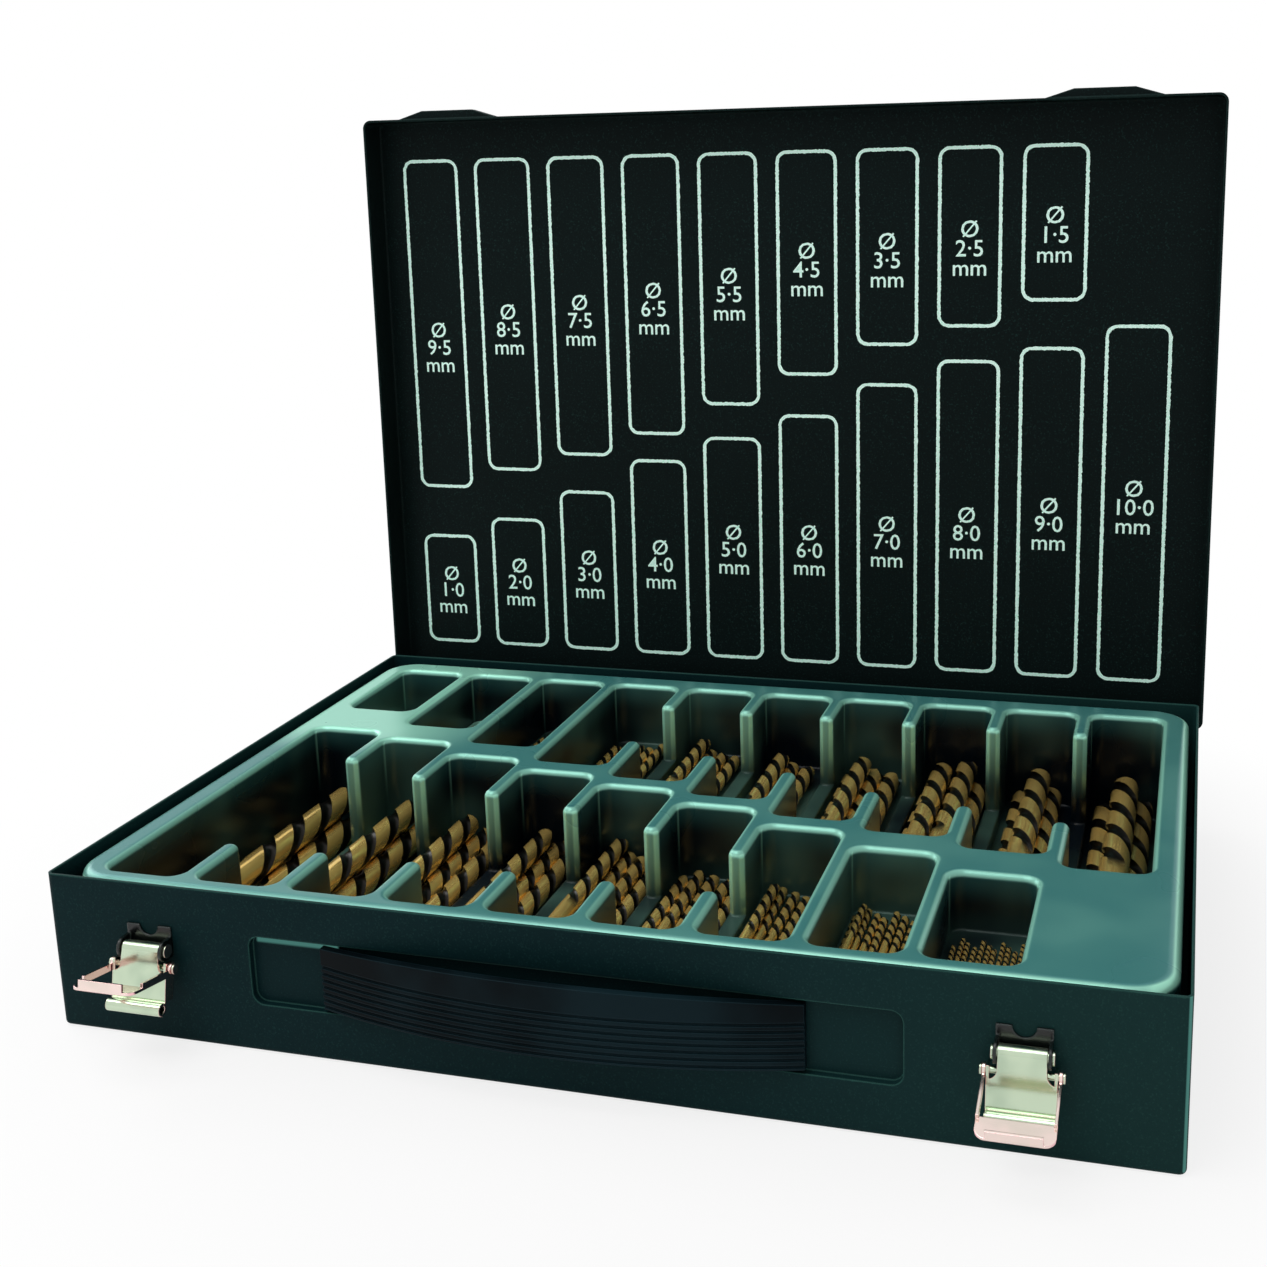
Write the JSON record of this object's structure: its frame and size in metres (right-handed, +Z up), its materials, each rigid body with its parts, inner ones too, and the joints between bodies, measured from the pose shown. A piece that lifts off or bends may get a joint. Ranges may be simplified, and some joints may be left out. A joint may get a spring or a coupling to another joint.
{
  "type": "drill bit drawer case",
  "caption": "Shallow steel case with a hinged lid on a continuous hinge, a moulded insert of stepped pockets for twist drill bits, a strap handle and two draw latches.",
  "frame": {"origin": "centre of the underside of the base pan", "axes": "+X to the right seen from the front along the case's width, +Y to the rear towards the hinge, +Z up"},
  "size_m": [0.3434, 0.2849, 0.2818],
  "materials": {
    "case_steel": "smooth dark lacquer on thin sheet",
    "tray_plastic": "glossy thermoformed plastic",
    "hinge_steel": "dark plated steel",
    "strap_plastic": "ribbed black plastic",
    "latch_black": "black plated steel",
    "latch_chrome": "bright chrome plating",
    "bit_steel": "gold to bronze tempered high-speed steel"
  },
  "bodies": {
    "base": {"base_pan": "case_steel", "insert_tray": "tray_plastic", "hinge_base_leaf": "hinge_steel", "hinge_pin": "hinge_steel", "left_latch_plate": "latch_black", "left_lever_pin": "latch_chrome", "right_latch_plate": "latch_black", "right_lever_pin": "latch_chrome", "drills_1_0": "bit_steel", "drills_2_0": "bit_steel", "drills_3_0": "bit_steel", "drills_4_0": "bit_steel", "drills_5_0": "bit_steel", "drills_6_0": "bit_steel", "drills_7_0": "bit_steel", "drills_8_0": "bit_steel", "drills_9_0": "bit_steel", "drills_10_0": "bit_steel", "drills_9_5": "bit_steel", "drills_8_5": "bit_steel", "drills_7_5": "bit_steel", "drills_6_5": "bit_steel", "drills_5_5": "bit_steel", "drills_4_5": "bit_steel", "drills_3_5": "bit_steel", "drills_2_5": "bit_steel", "drills_1_5": "bit_steel"},
    "lid": {"lid_pan": "case_steel", "hinge_lid_leaf": "hinge_steel"},
    "handle": {"handle_strap": "strap_plastic"},
    "left_lever": {"left_latch_lever": "latch_chrome", "left_claw_pin": "latch_chrome"},
    "left_claw": {"left_latch_claw": "latch_chrome"},
    "right_lever": {"right_latch_lever": "latch_chrome", "right_claw_pin": "latch_chrome"},
    "right_claw": {"right_latch_claw": "latch_chrome"}
  },
  "joints": [
    {"name": "lid_hinge", "type": "hinge", "parent": "base", "child": "lid", "pos_m": [0, 0.1202, 0.0388], "axis": [1, 0, 0], "range_deg": [0, 91]},
    {"name": "handle_slide", "type": "slide", "parent": "base", "child": "handle", "axis": [0, -1, 0], "range_m": [0, 0.0036]},
    {"name": "left_lever_hinge", "type": "hinge", "parent": "base", "child": "left_lever", "pos_m": [-0.1345, -0.1219, 0.0318], "axis": [1, 0, 0], "range_deg": [-93, 12]},
    {"name": "left_claw_hinge", "type": "hinge", "parent": "left_lever", "child": "left_claw", "pos_m": [-0.1345, -0.12294, 0.02691], "axis": [-1, 0, 0], "range_deg": [-92, 89]},
    {"name": "right_lever_hinge", "type": "hinge", "parent": "base", "child": "right_lever", "pos_m": [0.128, -0.1219, 0.0318], "axis": [1, 0, 0], "range_deg": [-98, 7]},
    {"name": "right_claw_hinge", "type": "hinge", "parent": "right_lever", "child": "right_claw", "pos_m": [0.128, -0.12251, 0.02684], "axis": [-1, 0, 0], "range_deg": [-69, 112]}
  ]
}
